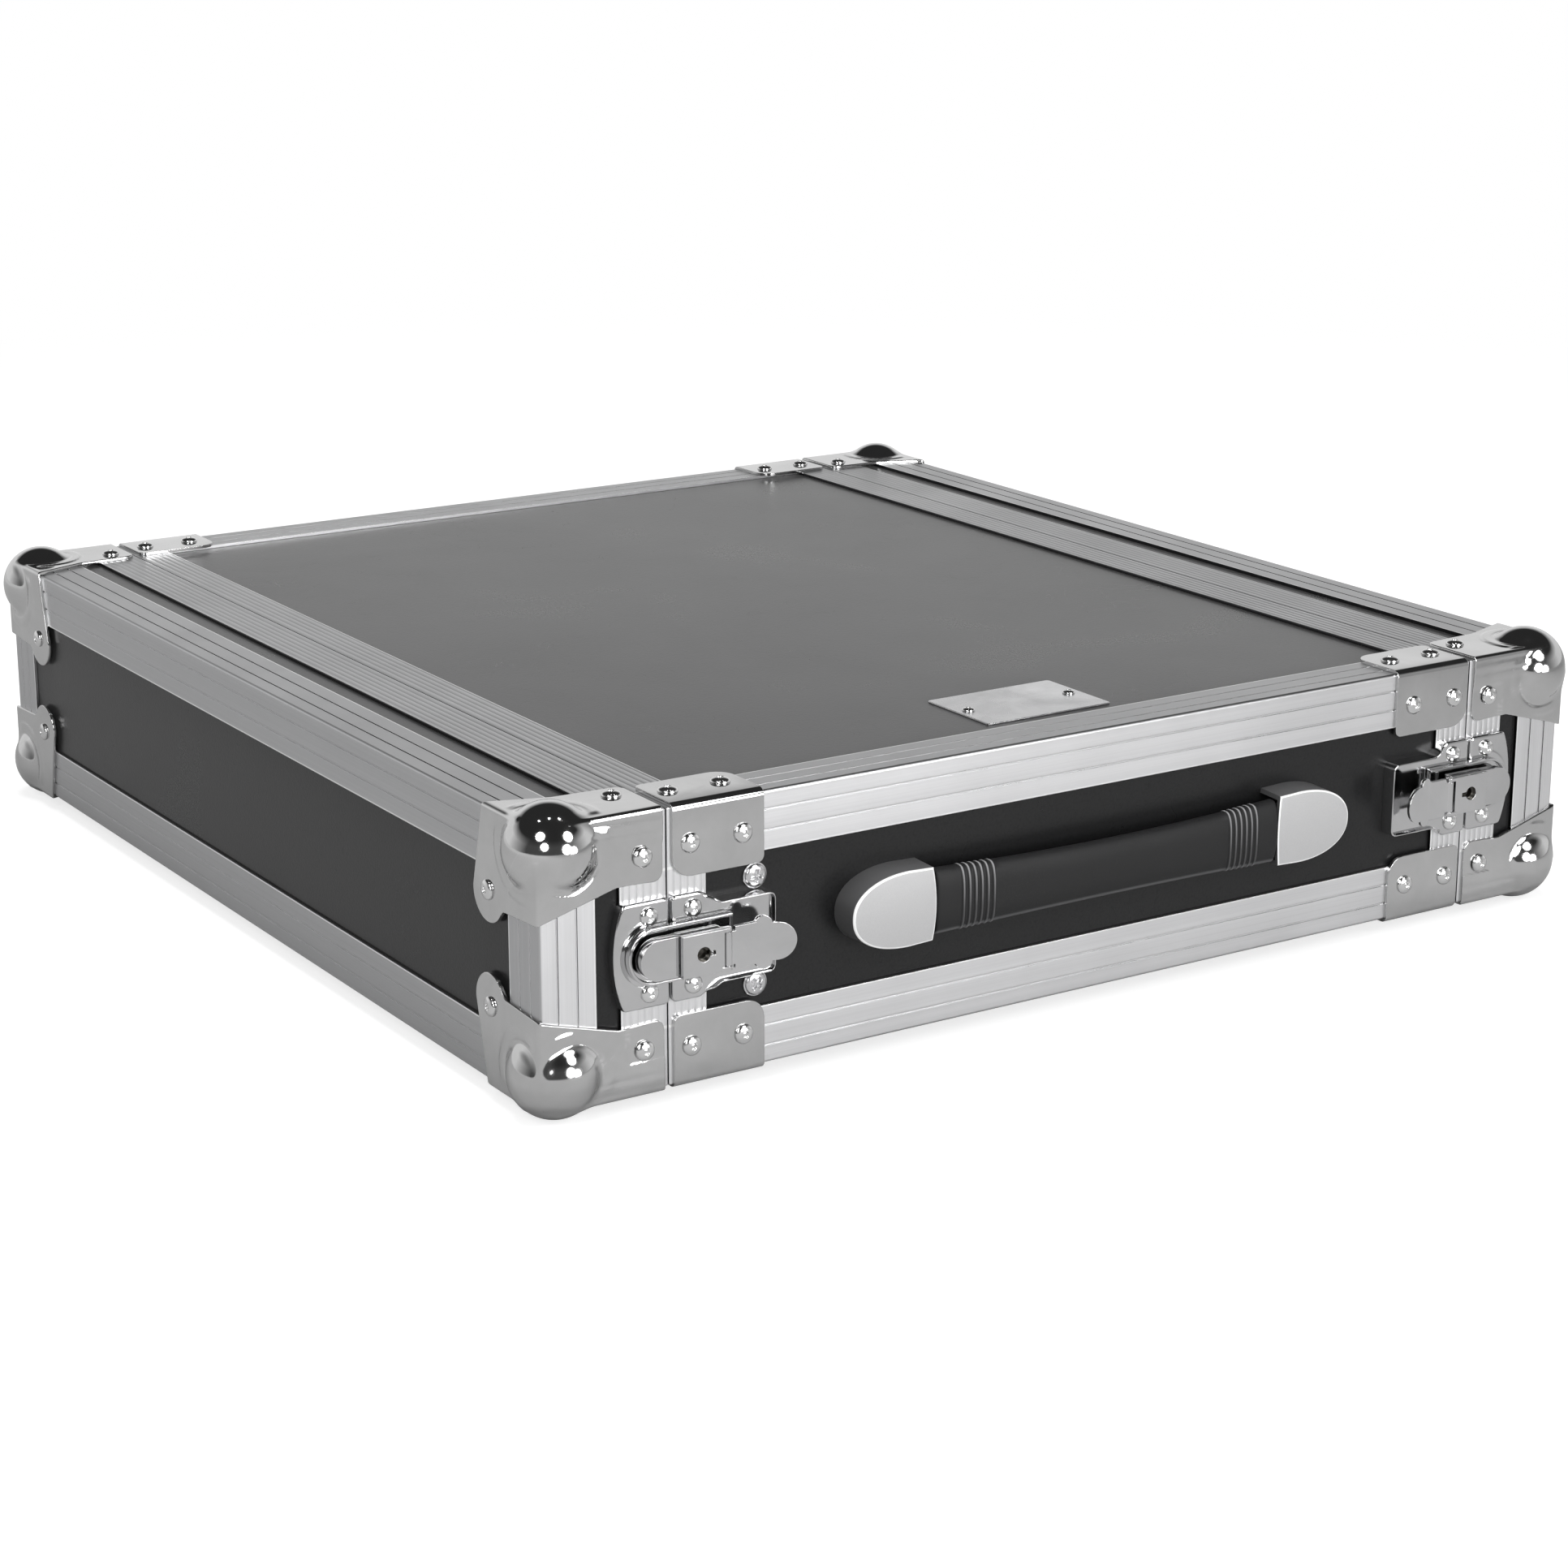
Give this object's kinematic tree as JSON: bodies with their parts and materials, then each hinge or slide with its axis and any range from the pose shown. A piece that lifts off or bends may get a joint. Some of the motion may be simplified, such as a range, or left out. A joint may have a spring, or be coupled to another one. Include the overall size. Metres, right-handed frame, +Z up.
{
  "type": "rack case",
  "caption": "Low flight case for rack devices with a lift-off lid at each end, ball corners, lockable butterfly latches, strap handles and front rack rails.",
  "frame": {"origin": "centre of the case, on the plane the ball corners stand on", "axes": "+X the right side, -Y the front lid, +Z up"},
  "size_m": [0.5604, 0.523, 0.123],
  "materials": {
    "laminate": "black plastic laminate over plywood, fine leather-like grain, satin",
    "profile_aluminium": "satin extruded aluminium with fine lengthwise lines",
    "corner_steel": "nickel plated pressed steel, polished",
    "rivet_steel": "bright plated steel blind rivets",
    "screw_steel": "zinc plated cross-head screws with washers",
    "rail_steel": "black powder coat on steel",
    "plate_aluminium": "brushed aluminium, bare",
    "cap_grey": "silver-grey satin paint",
    "grip_rubber": "black matt rubber",
    "strap_steel": "spring steel strap",
    "foam": "black open-cell foam",
    "lock_brass": "dull brass lock barrel",
    "latch_steel": "nickel plated pressed steel, polished"
  },
  "bodies": {
    "case_body": {"top_panel": "laminate", "bottom_panel": "laminate", "right_panel": "laminate", "left_panel": "laminate", "top_right_profile": "profile_aluminium", "top_left_profile": "profile_aluminium", "bottom_right_profile": "profile_aluminium", "bottom_left_profile": "profile_aluminium", "front_rim": "profile_aluminium", "rear_rim": "profile_aluminium", "braces": "corner_steel", "body_rivets": "rivet_steel", "right_rack_rail": "rail_steel", "left_rack_rail": "rail_steel", "screws": "screw_steel", "name_plate": "plate_aluminium", "right_handle_caps": "cap_grey", "right_handle_grip": "grip_rubber", "right_handle_strap": "strap_steel", "left_handle_caps": "cap_grey", "left_handle_grip": "grip_rubber", "left_handle_strap": "strap_steel", "front_right_latch_base": "latch_steel", "front_left_latch_base": "latch_steel", "rear_right_latch_base": "latch_steel", "rear_left_latch_base": "latch_steel"},
    "front_lid": {"front_lid_face": "laminate", "front_lid_walls": "laminate", "front_lid_frame": "profile_aluminium", "front_lid_rim": "profile_aluminium", "front_ball_corners": "corner_steel", "front_lid_foam": "foam", "front_keepers": "latch_steel", "front_lid_rivets": "rivet_steel"},
    "rear_lid": {"rear_lid_face": "laminate", "rear_lid_walls": "laminate", "rear_lid_frame": "profile_aluminium", "rear_lid_rim": "profile_aluminium", "rear_ball_corners": "corner_steel", "rear_lid_foam": "foam", "rear_keepers": "latch_steel", "rear_lid_rivets": "rivet_steel"},
    "front_right_turn": {"front_right_turn": "latch_steel"},
    "front_right_wing": {"front_right_wing": "latch_steel"},
    "front_right_claw": {"front_right_claw": "latch_steel"},
    "front_right_lock": {"front_right_lock": "lock_brass"},
    "front_left_turn": {"front_left_turn": "latch_steel"},
    "front_left_wing": {"front_left_wing": "latch_steel"},
    "front_left_claw": {"front_left_claw": "latch_steel"},
    "front_left_lock": {"front_left_lock": "lock_brass"},
    "rear_right_turn": {"rear_right_turn": "latch_steel"},
    "rear_right_wing": {"rear_right_wing": "latch_steel"},
    "rear_right_claw": {"rear_right_claw": "latch_steel"},
    "rear_right_lock": {"rear_right_lock": "lock_brass"},
    "rear_left_turn": {"rear_left_turn": "latch_steel"},
    "rear_left_wing": {"rear_left_wing": "latch_steel"},
    "rear_left_claw": {"rear_left_claw": "latch_steel"},
    "rear_left_lock": {"rear_left_lock": "lock_brass"}
  },
  "joints": [
    {"name": "front_lid_pull", "type": "slide", "parent": "case_body", "child": "front_lid", "axis": [0, -1, 0], "range_m": [0, 0.12]},
    {"name": "rear_lid_pull", "type": "slide", "parent": "case_body", "child": "rear_lid", "axis": [0, 1, 0], "range_m": [0, 0.12]},
    {"name": "front_right_latch_turn", "type": "hinge", "parent": "case_body", "child": "front_right_turn", "pos_m": [0.272, -0.1925, 0.0615], "axis": [1, 0, 0], "range_deg": [0, 180]},
    {"name": "front_right_wing_fold", "type": "hinge", "parent": "front_right_turn", "child": "front_right_wing", "pos_m": [0.275, -0.1813, 0.0615], "axis": [0, 0, -1], "range_deg": [0, 90]},
    {"name": "front_right_claw_slide", "type": "slide", "parent": "case_body", "child": "front_right_claw", "axis": [0, -1, 0], "range_m": [0, 0.004]},
    {"name": "front_right_lock_turn", "type": "hinge", "parent": "front_right_turn", "child": "front_right_lock", "pos_m": [0.273, -0.1925, 0.0615], "axis": [1, 0, 0], "range_deg": [0, 90]},
    {"name": "front_left_latch_turn", "type": "hinge", "parent": "case_body", "child": "front_left_turn", "pos_m": [-0.272, -0.1925, 0.0615], "axis": [-1, 0, 0], "range_deg": [0, 180]},
    {"name": "front_left_wing_fold", "type": "hinge", "parent": "front_left_turn", "child": "front_left_wing", "pos_m": [-0.275, -0.1813, 0.0615], "axis": [0, 0, 1], "range_deg": [0, 90]},
    {"name": "front_left_claw_slide", "type": "slide", "parent": "case_body", "child": "front_left_claw", "axis": [0, -1, 0], "range_m": [0, 0.004]},
    {"name": "front_left_lock_turn", "type": "hinge", "parent": "front_left_turn", "child": "front_left_lock", "pos_m": [-0.273, -0.1925, 0.0615], "axis": [-1, 0, 0], "range_deg": [0, 90]},
    {"name": "rear_right_latch_turn", "type": "hinge", "parent": "case_body", "child": "rear_right_turn", "pos_m": [0.272, 0.1925, 0.0615], "axis": [1, 0, 0], "range_deg": [0, 180]},
    {"name": "rear_right_wing_fold", "type": "hinge", "parent": "rear_right_turn", "child": "rear_right_wing", "pos_m": [0.275, 0.1813, 0.0615], "axis": [0, 0, 1], "range_deg": [0, 90]},
    {"name": "rear_right_claw_slide", "type": "slide", "parent": "case_body", "child": "rear_right_claw", "axis": [0, 1, 0], "range_m": [0, 0.004]},
    {"name": "rear_right_lock_turn", "type": "hinge", "parent": "rear_right_turn", "child": "rear_right_lock", "pos_m": [0.273, 0.1925, 0.0615], "axis": [1, 0, 0], "range_deg": [0, 90]},
    {"name": "rear_left_latch_turn", "type": "hinge", "parent": "case_body", "child": "rear_left_turn", "pos_m": [-0.272, 0.1925, 0.0615], "axis": [-1, 0, 0], "range_deg": [0, 180]},
    {"name": "rear_left_wing_fold", "type": "hinge", "parent": "rear_left_turn", "child": "rear_left_wing", "pos_m": [-0.275, 0.1813, 0.0615], "axis": [0, 0, -1], "range_deg": [0, 90]},
    {"name": "rear_left_claw_slide", "type": "slide", "parent": "case_body", "child": "rear_left_claw", "axis": [0, 1, 0], "range_m": [0, 0.004]},
    {"name": "rear_left_lock_turn", "type": "hinge", "parent": "rear_left_turn", "child": "rear_left_lock", "pos_m": [-0.273, 0.1925, 0.0615], "axis": [-1, 0, 0], "range_deg": [0, 90]}
  ],
  "couplings": [
    {"joint": "front_right_claw_slide", "follows": "front_right_latch_turn", "m_per_rad": 0.00127},
    {"joint": "front_left_claw_slide", "follows": "front_left_latch_turn", "m_per_rad": 0.00127},
    {"joint": "rear_right_claw_slide", "follows": "rear_right_latch_turn", "m_per_rad": 0.00127},
    {"joint": "rear_left_claw_slide", "follows": "rear_left_latch_turn", "m_per_rad": 0.00127}
  ]
}
